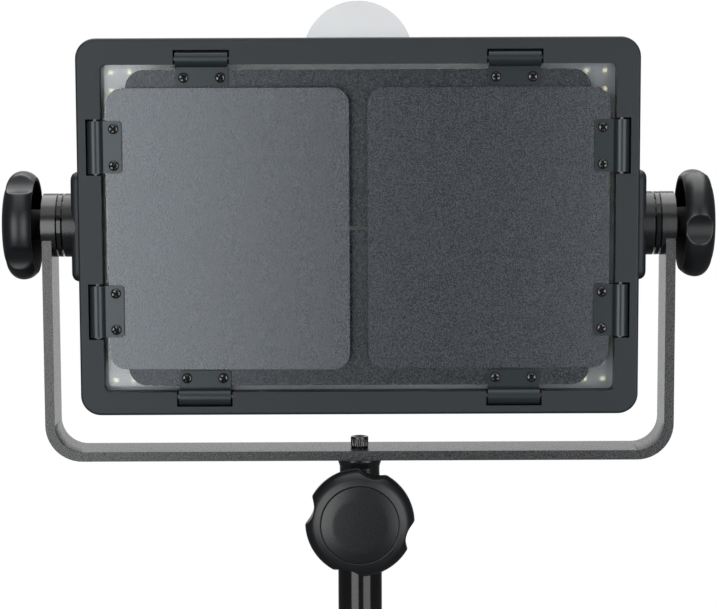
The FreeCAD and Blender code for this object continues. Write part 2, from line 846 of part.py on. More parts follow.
def driver_board():
    sides = ("driver_wide", "driver_tall", "window_corner")
    body = flat_panel("driver_board", "driver_front", "driver_back", *sides)
    for step in (-1, 0, 1):
        can = circle(f"{step} * can_apart", "bezel_middle + can_up", "can_wide")
        add(body, "XZ_Plane", "can_front", "driver_front", can)


def back_cover():
    body = new_body("back_cover")
    outline = panel("bezel_wide", "bezel_tall", "bezel_corner")
    add(body, "XZ_Plane", "seam_back", "cover_back", outline)
    back, front = value("cover_back"), value("seam_back")
    solid = chamfer(body, "cover_slope", lambda edge: lies_at(edge, "Y", back))
    faces = enumerate(solid.Shape.Faces, start=1)
    open_face = next(number for number, face in faces if close(face.BoundBox.YMax, front))
    shell = body.newObject("PartDesign::Thickness", "shell")
    shell.Base = (solid, [f"Face{open_face}"])
    bind(shell, "Value", "cover_wall")
    shell.Reversed = True
    doc.recompute()
    inside = "cover_back - cover_wall"
    add(body, "XZ_Plane", "sink_back", inside, *post_circles("post_wide"))
    cut(body, "XZ_Plane", "sink_back", "cover_back", *post_circles("screw_hole"))
    head_rooms = post_circles("case_head_wide + case_head_room")
    cut(body, "XZ_Plane", "cover_back - case_head_sunk", "cover_back", *head_rooms)
    cut(body, "YZ_Plane", f"-{FAR}", FAR, circle("0", "pivot_high", "stud_hole"))
    cut(body, "XZ_Plane", inside, "cover_back", *panel_holes())
    for row in (-1, 1):
        for side in (-1, 1):
            up, across = f"bezel_middle + {row} * vent_up", f"{side} * vent_pitch"
            slot = panel("vent_wide", "vent_tall", "vent_round", across, up)
            first = cut(body, "XZ_Plane", inside, "cover_back", slot)
            repeat(body, first, "(vent_count - 1) * vent_pitch", "vent_count", backwards=side < 0)


def housing_screws():
    body = new_body("housing_screws")
    seat = "(cover_back - case_head_sunk)"
    add(body, "XZ_Plane", seat, f"{seat} + case_head_tall", *post_circles("case_head_wide"))
    add(body, "XZ_Plane", "board_back", seat, *post_circles("screw_wide"))
    crosses = [cross(*place) for place in post_places()]
    cut(body, "XZ_Plane", f"{seat} + case_head_tall - recess_deep", f"{seat} + case_head_tall", *crosses)


# ---- back fittings ----

def panel_holes():
    """Openings for the dials' shafts, the rocker and the jack, the same in panel and cover."""
    across = [f"{sign} * dial_across" for sign in (-1, 1)]
    shafts = [circle(place, "bezel_middle + dial_up", "dial_shaft_hole") for place in across]
    rocker = panel(
        "rocker_wide + 2 * rocker_slack", "rocker_tall + 4 * rocker_slack", "rocker_corner",
        "rocker_across", "bezel_middle + rocker_up",
    )
    jack = circle("jack_across", "bezel_middle + jack_up", "jack_wide")
    return [*shafts, rocker, jack]


def control_panel():
    body = new_body("control_panel")
    back = "cover_back + panel_thick"
    add(body, "XZ_Plane", "cover_back", back, panel("panel_wide", "panel_tall", "panel_corner"))
    window = panel("display_wide", "display_tall", "display_corner", up="bezel_middle + display_up")
    cut(body, "XZ_Plane", f"{back} - display_sunk", back, window)
    cut(body, "XZ_Plane", "cover_back", back, *panel_holes())


def display_window():
    body = new_body("display_window")
    low = "cover_back + panel_thick - display_sunk"
    sides = ("display_wide - 2 * display_slack", "display_tall - 2 * display_slack", "display_corner")
    window = panel(*sides, up="bezel_middle + display_up")
    add(body, "XZ_Plane", low, f"{low} + display_thick", window)


def dial(name, sign):
    body = new_body(name)
    low = "(panel_thick + dial_gap)"
    add(body, "XY_Plane", low, f"{low} + dial_tall", circle("0", "0", "dial_wide"))
    top = value(f"{low} + dial_tall")
    chamfer(body, "dial_edge", lambda edge: lies_at(edge, "Z", top))
    add(body, "XY_Plane", "-dial_shaft_deep", low, circle("0", "0", "dial_shaft"))
    mark = box("-dial_mark / 2", "dial_mark / 2", "dial_wide / 6", "dial_wide / 2 - dial_mark")
    cut(body, "XY_Plane", f"{low} + dial_tall - dial_mark_deep", f"{low} + dial_tall", mark)
    set_down(body, BACKWARD, f"{sign} * dial_across", "cover_back", "bezel_middle + dial_up")


def power_rocker():
    body = new_body("power_rocker")
    half, dip = "rocker_tall / 2", "rocker_thick / 2"
    outline = polygon(
        (f"-{dip}", f"-{half}"),
        (dip, f"-{half}"),
        (f"{dip} - rocker_dip", "0"),
        (dip, half),
        (f"-{dip}", half),
    )
    add(body, "YZ_Plane", "-rocker_wide / 2", "rocker_wide / 2", outline)
    reach = "rocker_wide / 2 + rocker_pin_proud"
    add(body, "YZ_Plane", f"-({reach})", reach, circle("0", "0", "rocker_pin"))
    tilt = Rotation(Vector(1, 0, 0), -value("rocker_turn"))
    set_down(body, tilt, "rocker_across", "cover_back + panel_thick / 2", "bezel_middle + rocker_up")


def dc_jack():
    body = new_body("dc_jack")
    turn(
        body,
        ("0", "-jack_deep"),
        ("jack_wide / 2", "-jack_deep"),
        ("jack_wide / 2", "panel_thick + jack_proud"),
        ("jack_bore / 2", "panel_thick + jack_proud"),
        ("jack_bore / 2", "-jack_deep + jack_wall"),
        ("jack_pin / 2", "-jack_deep + jack_wall"),
        ("jack_pin / 2", "panel_thick - jack_pin_sunk"),
        ("0", "panel_thick - jack_pin_sunk"),
    )
    set_down(body, BACKWARD, "jack_across", "cover_back", "bezel_middle + jack_up")


def battery_plate(name, sign):
    """A plate with two lipped rails that a camcorder battery slides down between."""
    body = new_body(name)
    across, back = f"{sign} * battery_across", "(cover_back + battery_thick)"
    plate = panel("battery_wide", "battery_tall", "battery_corner", across)
    add(body, "XZ_Plane", "cover_back", back, plate)
    for side in (-1, 1):
        outer = f"{across} + {side} * battery_wide / 2"
        inner = f"{across} + {side} * (battery_wide / 2 - rail_wide)"
        lip = f"{across} + {side} * (battery_wide / 2 - rail_wide - rail_lip)"
        rows = ("bezel_middle - battery_tall / 2 + rail_foot", "bezel_middle + battery_tall / 2 - rail_top")
        add(body, "XZ_Plane", back, f"{back} + rail_tall", box(*sorted((outer, inner), key=value), *rows))
        strip = box(*sorted((outer, lip), key=value), *rows)
        add(body, "XZ_Plane", f"{back} + rail_tall - lip_thick", f"{back} + rail_tall", strip)
    pocket = panel(
        "latch_wide + 2 * latch_slack", "latch_tall + 2 * latch_slack + latch_play", "latch_corner",
        across, "bezel_middle + latch_low - latch_play / 2",
    )
    cut(body, "XZ_Plane", f"{back} - latch_pocket", back, pocket)


def battery_latch(name, sign):
    body = new_body(name)
    back = "(cover_back + battery_thick)"
    place = (f"{sign} * battery_across", "bezel_middle + latch_low")
    face = panel("latch_wide", "latch_tall", "latch_corner", *place)
    add(body, "XZ_Plane", f"{back} - latch_sunk", f"{back} + latch_proud", face)
    top = value(f"{back} + latch_proud")
    chamfer(body, "latch_edge", lambda edge: lies_at(edge, "Y", top))


# ---- filter ----

def filter_sheet():
    body = new_body("filter_sheet")
    half = "(filter_wide / 2)"
    plate = rounded(f"-{half}", half, "filter_low", "filter_top", "filter_corner")
    add(body, "XZ_Plane", "filter_front", "filter_back", plate)
    add(body, "XZ_Plane", "filter_front", "filter_back", circle("0", "tab_middle", "2 * tab_round"))


# ---- barn doors, each in its own hinge's frame ----

def screw_places(apart):
    signs = [(side, end) for side in (-1, 1) for end in (-1, 1)]
    return [(f"{side} * {apart} / 2 + {end} * screw_apart / 2", "screw_in") for side, end in signs]


def cross(across, up):
    """The outline of a cross recess."""
    long, wide = "recess_long / 2", "recess_wide / 2"
    corners = (
        (f"-{long}", f"-{wide}"),
        (f"-{wide}", f"-{wide}"),
        (f"-{wide}", f"-{long}"),
        (wide, f"-{long}"),
        (wide, f"-{wide}"),
        (long, f"-{wide}"),
        (long, wide),
        (wide, wide),
        (wide, long),
        (f"-{wide}", long),
        (f"-{wide}", wide),
        (f"-{long}", wide),
    )
    return polygon(*((f"{across} + {shift}", f"{up} + {lift}") for shift, lift in corners))


def door_leaf(name, on_side, plate_back, apart):
    body = new_body(f"{name}_door_leaf")
    holes = [circle(across, up, "screw_hole") for across, up in screw_places(apart)]
    low, high = f"{plate_back} - leaf_thick", plate_back
    if on_side:
        sheet_outline = rounded(
            "-side_leaf_half", "side_leaf_half", "side_leaf_near", "side_leaf_far", "side_leaf_corner"
        )
        add(body, "XY_Plane", low, high, sheet_outline, *holes)
        return body
    sheet_outline = polygon(
        ("-end_leaf_half", "end_leaf_near"),
        ("end_leaf_half", "end_leaf_near"),
        ("end_leaf_half", "end_leaf_straight"),
        ("end_leaf_tip", "end_leaf_far"),
        ("-end_leaf_tip", "end_leaf_far"),
        ("-end_leaf_half", "end_leaf_straight"),
    )
    add(body, "XY_Plane", low, high, sheet_outline, *holes)
    straight, up = value("end_leaf_straight"), Vector(0, 0, 1)
    fillet(body, "end_leaf_corner", lambda e: upright(e, up) and not close(middle(e).y, straight))
    return body


def door_hinges(name, plate_back, apart):
    body = new_body(f"{name}_door_hinges")
    half = "hinge_long / 2"
    for side in (-1, 1):
        centre = f"{side} * {apart} / 2"
        ends = (f"{centre} - {half}", f"{centre} + {half}")
        plate = rounded(*ends, "0", "hinge_reach", "hinge_corner")
        add(body, "XY_Plane", plate_back, f"{plate_back} + hinge_plate", plate)
        add(body, "YZ_Plane", *ends, circle("0", "0", "2 * barrel_round"))
        cut(body, "YZ_Plane", *ends, circle("0", "0", "pin_wide + 2 * pin_slack"))
    holes = [circle(across, up, "screw_hole") for across, up in screw_places(apart)]
    cut(body, "XY_Plane", plate_back, f"{plate_back} + hinge_plate", *holes)
    return body


def door_screws(name, plate_back, apart):
    body = new_body(f"{name}_door_screws")
    seat = f"({plate_back} + hinge_plate)"
    tip = f"{plate_back} - leaf_thick - small_nut_thick - screw_spare"
    top = f"{seat} + screw_head_tall"
    places = screw_places(apart)
    add(body, "XY_Plane", seat, top, *[circle(*place, "screw_head_wide") for place in places])
    crown = value(top)
    fillet(body, "screw_dome", lambda edge: lies_at(edge, "Z", crown))
    add(body, "XY_Plane", tip, seat, *[circle(*place, "screw_wide") for place in places])
    crosses = [cross(*place) for place in places]
    cut(body, "XY_Plane", f"{top} - recess_deep", top, *crosses)
    return body


def door_nuts(name, plate_back, apart):
    body = new_body(f"{name}_door_nuts")
    high = f"({plate_back} - leaf_thick)"
    for place in screw_places(apart):
        shapes = (hexagon(*place, "small_nut_across"), circle(*place, "screw_wide"))
        add(body, "XY_Plane", f"{high} - small_nut_thick", high, *shapes)
    return body


def barn_door(name):
    along, inward, across, high, ajar = DOORS[name]
    on_side = name in SIDES
    plate_back = "side_plate_back" if on_side else "end_plate_back"
    apart = "side_hinge_apart" if on_side else "end_hinge_apart"
    pieces = [
        door_leaf(name, on_side, plate_back, apart),
        door_hinges(name, plate_back, apart),
        door_screws(name, plate_back, apart),
        door_nuts(name, plate_back, apart),
    ]
    rotation = Rotation(along, ajar) * Rotation(along, inward, OUTWARD, "XYZ")
    for piece in pieces:
        set_down(piece, rotation, across, "axis_front", high)


# ---- the whole light ----

def build():
    yoke_bar()
    stand_socket()
    socket_sleeve()
    socket_bolt()
    for name, (sign, _) in SIDES.items():
        pivot_stack(name, sign)
        battery_plate(f"{name}_battery_plate", sign)
        battery_latch(f"{name}_battery_latch", sign)
    pivot_nuts()
    side_knobs()
    stand_knob()
    front_bezel()
    inner_frame()
    sides = ("window_wide", "window_tall", "window_corner")
    flat_panel("diffuser_window", "window_front", "window_back", *sides)
    flat_panel("led_board", "board_front", "board_back", *sides)
    heat_sink()
    driver_board()
    hinge_pins()
    back_cover()
    housing_screws()
    control_panel()
    display_window()
    dial("brightness_dial", -1)
    dial("colour_dial", 1)
    power_rocker()
    dc_jack()
    filter_sheet()
    for name in DOORS:
        barn_door(name)


def check_and_export():
    doc.recompute()
    for item in doc.Objects:
        if "Invalid" in item.State or "Error" in item.State:
            raise ValueError(f"{item.Label} is in state {item.State}")
    os.makedirs("parts", exist_ok=True)
    for node in nodes:
        shape = node.Shape
        if shape.isNull() or not shape.isValid():
            raise ValueError(f"{node.Label} has no valid shape")
        shape.exportStep(f"parts/{node.Label}.step")


fill_sheet()
build()
check_and_export()
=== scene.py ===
import json
import math

import bpy
from mathutils import Matrix, Vector


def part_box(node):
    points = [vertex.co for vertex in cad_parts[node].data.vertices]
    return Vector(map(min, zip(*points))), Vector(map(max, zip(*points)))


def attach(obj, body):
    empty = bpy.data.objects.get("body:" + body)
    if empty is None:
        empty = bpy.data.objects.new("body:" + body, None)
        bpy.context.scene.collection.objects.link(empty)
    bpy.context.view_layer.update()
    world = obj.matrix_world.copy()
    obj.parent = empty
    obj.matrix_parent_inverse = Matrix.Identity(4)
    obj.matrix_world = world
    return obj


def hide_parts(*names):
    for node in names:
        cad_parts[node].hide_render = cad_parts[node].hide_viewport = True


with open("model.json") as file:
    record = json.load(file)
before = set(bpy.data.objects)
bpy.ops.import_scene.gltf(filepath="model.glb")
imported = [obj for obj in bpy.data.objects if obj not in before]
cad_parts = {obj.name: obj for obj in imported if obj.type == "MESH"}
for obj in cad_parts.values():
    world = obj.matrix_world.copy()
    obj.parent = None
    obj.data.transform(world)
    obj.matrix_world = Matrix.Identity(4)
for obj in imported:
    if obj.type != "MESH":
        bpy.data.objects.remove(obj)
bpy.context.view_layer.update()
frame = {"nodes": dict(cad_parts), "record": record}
NODES = frame["nodes"]
SLOTS = {part["node"]: part["material_slot"] for part in frame["record"]["subparts"]}
MM = 0.001
DOORS = ("left", "right", "top", "bottom")


# ---- node materials ----

# Colour of a painted glow: the lamp is off, and the glow paints the studio light that the yellow LED lenses
# catch behind the diffuser.
PAINTED_LENS_GLOW = (1.0, 0.86, 0.5)


def new_material(
    name, colour, roughness, metallic=0.0, specular=0.5, tint=(1, 1, 1),
    coat=0.0, coat_roughness=0.1, passes=0.0, glow=0.0,
):
    """A Principled material whose even values sit on the shader's own sockets."""
    material = bpy.data.materials.new(name)
    material.use_nodes = True
    shader = material.node_tree.nodes["Principled BSDF"]
    shader.inputs["Base Color"].default_value = (*colour, 1)
    shader.inputs["Roughness"].default_value = roughness
    shader.inputs["Metallic"].default_value = metallic
    shader.inputs["Specular IOR Level"].default_value = specular
    shader.inputs["Specular Tint"].default_value = (*tint, 1)
    shader.inputs["Coat Weight"].default_value = coat
    shader.inputs["Coat Roughness"].default_value = coat_roughness
    shader.inputs["Transmission Weight"].default_value = passes
    shader.inputs["Emission Color"].default_value = (*PAINTED_LENS_GLOW, 1)
    shader.inputs["Emission Strength"].default_value = glow
    return material, shader


def texture(tree, kind, scale, stretch=(1, 1, 1), **values):
    """A texture node on object coordinates, in metres."""
    where = tree.nodes.get("Texture Coordinate") or tree.nodes.new("ShaderNodeTexCoord")
    node = tree.nodes.new(kind)
    node.inputs["Scale"].default_value = scale
    for name, value in values.items():
        node.inputs[name].default_value = value
    source = where.outputs["Object"]
    if stretch != (1, 1, 1):
        mapping = tree.nodes.new("ShaderNodeMapping")
        mapping.inputs["Scale"].default_value = stretch
        tree.links.new(source, mapping.inputs["Vector"])
        source = mapping.outputs["Vector"]
    tree.links.new(source, node.inputs["Vector"])
    return node


def ramp(tree, source, *stops):
    """Maps a texture's 0..1 to colours, from (place, colour) stops."""
    node = tree.nodes.new("ShaderNodeValToRGB")
    elements = node.color_ramp.elements
    for index, (place, colour) in enumerate(stops):
        element = elements[index] if index < 2 else elements.new(place)
        element.position = place
        element.color = (*colour, 1)
    tree.links.new(source, node.inputs["Fac"])
    return node.outputs["Color"]


def spread(tree, source, low, high):
    """Maps a texture's 0..1 to low..high."""
    node = tree.nodes.new("ShaderNodeMapRange")
    node.inputs["To Min"].default_value = low
    node.inputs["To Max"].default_value = high
    tree.links.new(source, node.inputs["Value"])
    return node.outputs["Result"]


def bump(tree, height, strength, distance):
    """A normal from a height texture; distance is in metres."""
    node = tree.nodes.new("ShaderNodeBump")
    node.inputs["Strength"].default_value = strength
    node.inputs["Distance"].default_value = distance
    tree.links.new(height, node.inputs["Height"])
    return node.outputs["Normal"]


def multiplied(tree, first, second):
    """The product of two colours."""
    mixer = tree.nodes.new("ShaderNodeMix")
    mixer.data_type = "RGBA"
    mixer.blend_type = "MULTIPLY"
    mixer.inputs["Factor"].default_value = 1
    tree.links.new(first, mixer.inputs["A"])
    tree.links.new(second, mixer.inputs["B"])
    return mixer.outputs["Result"]


def shades(colour, *levels):
    """The colour at several brightness levels."""
    return [tuple(min(1, channel * level) for channel in colour) for level in levels]


CLOUD_SCALE = 12


def grained(name, colour, roughness, grain, depth, strength, contrast=0.2, swing=0.06, **values):
    """A coated or moulded surface: grain of a given size in millimetres, with uneven colour and gloss."""
    material, shader = new_material(name, colour, roughness, **values)
    tree = material.node_tree
    fine = texture(tree, "ShaderNodeTexNoise", 1000 / grain, Detail=3, Roughness=0.6)
    broad = texture(tree, "ShaderNodeTexNoise", CLOUD_SCALE, Detail=2)
    dark, light = shades(colour, 1 - contrast, 1 + contrast)
    speckle = ramp(tree, fine.outputs["Fac"], (0.4, dark), (0.6, light))
    cloud = ramp(tree, broad.outputs["Fac"], (0.3, (0.93,) * 3), (0.7, (1.0,) * 3))
    tone = multiplied(tree, speckle, cloud)
    tree.links.new(tone, shader.inputs["Base Color"])
    gloss = spread(tree, fine.outputs["Fac"], roughness - swing, roughness + swing)
    tree.links.new(gloss, shader.inputs["Roughness"])
    normal = bump(tree, fine.outputs["Fac"], strength, depth * MM)
    tree.links.new(normal, shader.inputs["Normal"])
    return material


POLISH_GRAIN = 0.5


def orange_peel(name, colour, roughness, peel, depth, strength, **values):
    """Polished or cast gloss with a faint long waviness and fine surface noise."""
    material, shader = new_material(name, colour, roughness, **values)
    tree = material.node_tree
    wave = texture(tree, "ShaderNodeTexNoise", 1000 / peel, Detail=1)
    fine = texture(tree, "ShaderNodeTexNoise", 1000 / POLISH_GRAIN, Detail=2)
    dark, light = shades(colour, 0.9, 1.1)
    tree.links.new(ramp(tree, wave.outputs["Fac"], (0.35, dark), (0.65, light)), shader.inputs["Base Color"])
    gloss = spread(tree, fine.outputs["Fac"], roughness - 0.03, roughness + 0.03)
    tree.links.new(gloss, shader.inputs["Roughness"])
    normal = bump(tree, wave.outputs["Fac"], strength, depth * MM)
    tree.links.new(normal, shader.inputs["Normal"])
    return material


LINE_SCALE = 900


def brushed(name, colour, roughness, stretch):
    """Turned or drawn bare metal: fine lines along the unstretched direction."""
    material, shader = new_material(name, colour, roughness, metallic=1.0)
    tree = material.node_tree
    lines = texture(tree, "ShaderNodeTexNoise", LINE_SCALE, stretch, Detail=3, Roughness=0.7)
    dark, light = shades(colour, 0.75, 1.15)
    tree.links.new(ramp(tree, lines.outputs["Fac"], (0.3, dark), (0.7, light)), shader.inputs["Base Color"])
    gloss = spread(tree, lines.outputs["Fac"], roughness - 0.1, roughness + 0.1)
    tree.links.new(gloss, shader.inputs["Roughness"])
    tree.links.new(bump(tree, lines.outputs["Fac"], 0.2, 0.02 * MM), shader.inputs["Normal"])
    return material


def build_materials():
    """Every material by name. Grain, peel and depth are in millimetres."""
    made = (
        grained(
            "door_powder_coat", (0.022, 0.025, 0.03), 0.23, 0.7, 0.3, 0.32, 1.0, 0.07, specular=1.0,
            tint=(0.88, 0.94, 1.0),
        ),
        # A darker copy of the door coat: painted shade on the top and bottom leaves, which lie behind the
        # side leaves.
        grained(
            "painted_shade_powder_coat", (0.017, 0.02, 0.023), 0.25, 0.7, 0.3, 0.35, 1.0, 0.08, specular=0.65,
            tint=(0.88, 0.94, 1.0),
        ),
        grained("hinge_paint", (0.017, 0.022, 0.025), 0.3, 0.4, 0.03, 0.15, 0.08, tint=(0.86, 0.95, 1.0)),
        orange_peel("black_screw", (0.008, 0.008, 0.009), 0.15, 3, 0.01, 0.1, specular=1.0),
        brushed("pin_steel", (0.14, 0.14, 0.15), 0.35, (1, 1, 8)),
        grained("housing_plastic", (0.013, 0.018, 0.022), 0.5, 0.35, 0.06, 0.25, 0.08, specular=0.4),
        grained("trim_plastic", (0.009, 0.01, 0.012), 0.25, 0.35, 0.03, 0.12, 0.08, specular=0.8),
        orange_peel("knob_plastic", (0.006, 0.007, 0.009), 0.37, 9, 0.04, 0.1),
        grained("knob_cap_plastic", (0.006, 0.008, 0.009), 0.27, 0.35, 0.01, 0.04, 0.06, 0.03),
        grained(
            "yoke_powder_coat", (0.012, 0.014, 0.017), 0.26, 0.7, 0.3, 0.5, 0.8, 0.1,
            specular=0.65, coat=0.2, coat_roughness=0.25,
        ),
        # A darker, duller black: painted shade in the knobs' hollow backs and the screws' cross recesses.
        grained("knob_hollow", (0.006, 0.006, 0.006), 0.6, 0.5, 0.03, 0.2, 0.08, specular=0.15),
        orange_peel("satin_black_metal", (0.01, 0.011, 0.012), 0.27, 10, 0.03, 0.08),
        orange_peel("gloss_black_metal", (0.007, 0.007, 0.007), 0.12, 14, 0.03, 0.1, specular=0.42),
        orange_peel("friction_rubber", (0.01, 0.01, 0.011), 0.1, 10, 0.02, 0.1),
        grained("diffuser_acrylic", (0.82, 0.89, 0.97), 0.42, 0.6, 0.02, 0.1, 0.03, passes=0.55),
        grained("filter_film", (0.93, 0.95, 0.97), 0.08, 0.4, 0.02, 0.05, 0.02, 0.03, passes=0.9),
        grained("circuit_board", (0.8, 0.81, 0.8), 0.4, 0.5, 0.02, 0.1, 0.03),
        brushed("bare_aluminium", (0.6, 0.6, 0.61), 0.35, (8, 1, 1)),
        orange_peel("display_glass", (0.01, 0.013, 0.013), 0.06, 20, 0.01, 0.05),
        grained("led_white", (0.85, 0.84, 0.8), 0.35, 0.5, 0.02, 0.1, 0.02),
        # The LED lenses glow though the lamp is off: painted light.
        grained("led_phosphor_painted_glow", (0.95, 0.72, 0.12), 0.3, 0.3, 0.02, 0.1, 0.05, glow=4.0),
        brushed("contact_gold", (0.83, 0.6, 0.25), 0.25, (1, 6, 1)),
        grained("mark_white", (0.75, 0.75, 0.75), 0.5, 0.3, 0.01, 0.1, 0.03),
    )
    # A name that the frame's own materials already hold gets a number after a dot.
    return {material.name.split(".")[0]: material for material in made}


def dress_nodes(materials):
    """Each CAD node in its slot's material, with the top and bottom leaves in a darker copy of the coat that
    paints the shade they lie in behind the side leaves.
    """
    for name, item in NODES.items():
        item.data.materials.clear()
        item.data.materials.append(materials[SLOTS[name]])
    # The top and bottom leaves take the darker copy of the coat: painted shade.
    for door in ("top", "bottom"):
        NODES[f"{door}_door_leaf"].data.materials[0] = materials["painted_shade_powder_coat"]


# The first is in metres, the edges in millimetres.
WELD_GAP = 0.00001
YOKE_EDGE, LEAF_EDGE = 0.6, 0.25
FLAT_WITHIN = math.radians(0.5)
EDGE_OVER = math.radians(50)


def soften(node, width):
    """Small rounded edges on a CAD node, width in millimetres."""
    item = NODES[node]
    weld = item.modifiers.new("weld", "WELD")
    weld.merge_threshold = WELD_GAP
    flat = item.modifiers.new("flat", "DECIMATE")
    flat.decimate_type = "DISSOLVE"
    flat.angle_limit = FLAT_WITHIN
    bevel = item.modifiers.new("bevel", "BEVEL")
    bevel.width = width * MM
    bevel.segments = 2
    bevel.limit_method = "ANGLE"
    bevel.angle_limit = EDGE_OVER
    bevel.harden_normals = True


# ---- mesh pieces ----

SHARP_OVER = 35
SHARP_ON_KNOBS = 50
SHARP_ON_SCREWS = 40


def piece(name, points, faces, body, material, slot, stands_for=(), sharp=SHARP_OVER):
    """A mesh piece from points in metres, smooth except along edges sharper than the given degrees."""
    mesh = bpy.data.meshes.new(name)
    mesh.from_pydata(points, [], faces)
    mesh.validate()
    for face in mesh.polygons:
        face.use_smooth = True
    mesh.set_sharp_from_angle(angle=math.radians(sharp))
    item = bpy.data.objects.new(name, mesh)
    bpy.context.collection.objects.link(item)
    item.data.materials.append(material)
    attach(item, body)
    if stands_for:
        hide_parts(*stands_for)
    return item


def join(points, faces, more_points, more_faces):
    """Adds one form to a mesh that holds several."""
    start = len(points)
    points += more_points
    faces += [tuple(start + corner for corner in face) for face in more_faces]


def rounded_profile(corners, steps=5):
    """Points along (radius, height) corners, each rounded by its third value."""
    points = []
    for index, (radius, height, bend) in enumerate(corners):
        spot = Vector((radius, height))
        if bend == 0:
            points.append(spot)
            continue
        before = (Vector(corners[index - 1][:2]) - spot).normalized()
        after = (Vector(corners[index + 1][:2]) - spot).normalized()
        half = before.angle(after) / 2
        start, end = spot + before * bend / math.tan(half), spot + after * bend / math.tan(half)
        centre = spot + (before + after).normalized() * bend / math.sin(half)
        first, last = start - centre, end - centre
        turn = first.angle_signed(last)
        for step in range(steps + 1):
            points.append(centre + Matrix.Rotation(-turn * step / steps, 2) @ first)
    return points


def lathe(rings, count):
    """Faces of a grid of rings that each hold count points; a ring of one point closes the end."""
    faces, starts, total = [], [], 0
    for ring in rings:
        starts.append(total)
        total += len(ring)
    for low, high in zip(range(len(rings) - 1), range(1, len(rings))):
        a, b = starts[low], starts[high]
        for step in range(count):
            after = (step + 1) % count
            if len(rings[low]) == 1:
                faces.append((a, b + after, b + step))
            elif len(rings[high]) == 1:
                faces.append((a + step, a + after, b))
            else:
                faces.append((a + step, a + after, b + after, b + step))
    return faces


def ring(radius_at, height, count):
    """Points around the axis at a height, with a radius for each turn."""
    return [
        (radius_at(turn) * math.cos(turn), radius_at(turn) * math.sin(turn), height)
        for turn in (2 * math.pi * step / count for step in range(count))
    ]


def revolved(profile, count, shape=None):
    """Rings of a turned form in millimetres. shape(radius, height, turn) gives the radius at a turn."""
    rings = []
    for radius, height in profile:
        if radius < 0.001:
            rings.append([(0, 0, height)])
        elif shape:
            rings.append(ring(lambda turn, r=radius, h=height: shape(r, h, turn), height, count))
        else:
            rings.append(ring(lambda turn, r=radius: r, height, count))
    return rings


def placed(rings, matrix):
    """Rings in millimetres as one list of points in metres, moved by the matrix."""
    return [tuple(matrix @ (Vector(point) * MM)) for each in rings for point in each]


# ---- clamp knobs ----

OUT = Vector((0, -1, 0))
UP = Vector((0, 0, 1))
# Each knob's side direction, the direction it faces, and how far it is turned in degrees.
KNOBS = {
    "left": (OUT, Vector((-1, 0, 0)), 55),
    "right": (-OUT, Vector((1, 0, 0)), 3),
    "stand": (Vector((1, 0, 0)), OUT, -14),
}
# Millimetres. Outlines are (radius, height, rounding).
KNOB_TALL = 21.7
SCALLOP_OUT, SCALLOP_ROUND, SCALLOP_BLEND = 38.8, 12.4, 0.7
RIM_STARTS = 21
CLEAR_OF_SCALLOP = 99.0
KNOB_POINTS, CAP_POINTS = 288, 96
KNOB_HOLLOW = (
    (4.1, 0, 0), (8.5, 0, 0.6), (9.5, 12.7, 2.2), (24.8, 12.7, 2.5), (24.8, 4.05, 0.7), (26.7, 4.05, 0)
)
RIM_CENTRE, RIM_ACROSS, RIM_ALONG = (22.0, 11.7), 8.35, (9.2, 8.3)
RIM_FROM, RIM_TO = math.radians(-55.8), math.radians(67)
CAP_SEAM = ((22.2, 20.16, 0.5), (21.75, 20.1, 0.2), (21.65, 19.4, 0))
CAP_OUTLINE = ((21.55, 19.4, 0), (21.5, 20.62, 0.45), (15, 21.3, 30), (0, 21.68, 0))


def knob_matrix(side):
    """Puts a knob's own axes, from its back along its stud, where the CAD knob is."""
    across, along, turned = KNOBS[side]
    low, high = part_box(f"{side}_knob")
    cap_low, cap_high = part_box(f"{side}_knob_cap")
    centre = (Vector(cap_low) + Vector(cap_high)) / 2
    reach = max(Vector(corner).dot(along) for corner in (low, high))
    back = centre + along * (reach - KNOB_TALL * MM - centre.dot(along))
    axes = Matrix((across, UP, along)).transposed().to_4x4()
    return Matrix.Translation(back) @ axes @ Matrix.Rotation(math.radians(turned), 4, "Z")


def scallop_limit(turn):
    """How far out the four finger scallops let the rim reach at a turn."""
    beside = (turn + math.pi / 4) % (math.pi / 2) - math.pi / 4
    inside = SCALLOP_ROUND**2 - (SCALLOP_OUT * math.sin(beside)) ** 2
    return SCALLOP_OUT * math.cos(beside) - math.sqrt(inside) if inside > 0 else CLEAR_OF_SCALLOP


def softly_least(first, second, blend):
    """The smaller of two lengths, eased over blend where they meet."""
    near = max(blend - abs(first - second), 0) / blend
    return min(first, second) - near * near * blend / 4


def rim_profile(steps=26):
    """The rim's outside, from its back edge round to the shoulder beside the cap."""
    points = []
    for step in range(steps + 1):
        slope = RIM_FROM + (RIM_TO - RIM_FROM) * step / steps
        along = RIM_ALONG[0] if slope < 0 else RIM_ALONG[1]
        points.append((RIM_CENTRE[0] + RIM_ACROSS * math.cos(slope), RIM_CENTRE[1] + along * math.sin(slope)))
    return points


